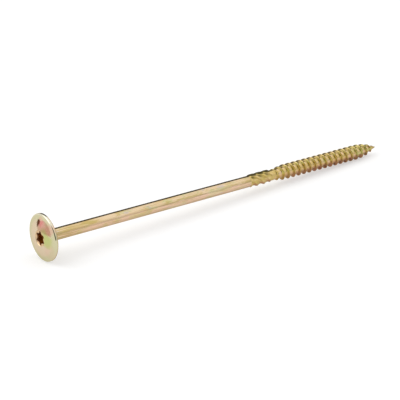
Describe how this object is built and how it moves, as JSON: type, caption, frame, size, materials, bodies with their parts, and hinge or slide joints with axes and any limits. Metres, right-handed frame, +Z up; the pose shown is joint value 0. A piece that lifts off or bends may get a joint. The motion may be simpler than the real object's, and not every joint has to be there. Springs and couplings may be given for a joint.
{
  "type": "construction screw",
  "caption": "Partly threaded timber construction screw with a domed washer head, a six-lobe drive recess, reamer ribs and a sharp point, lying on its side.",
  "frame": {"origin": "centre of the plan of the lying screw, on the ground that it lies on", "axes": "+X along the ground from the head to the point, +Z up; the screw's own axis falls a little towards the point"},
  "size_m": [0.2028, 0.022, 0.022],
  "materials": {
    "yellow_zinc": "satin"
  },
  "bodies": {
    "root": {"screw": "yellow_zinc"}
  },
  "joints": []
}
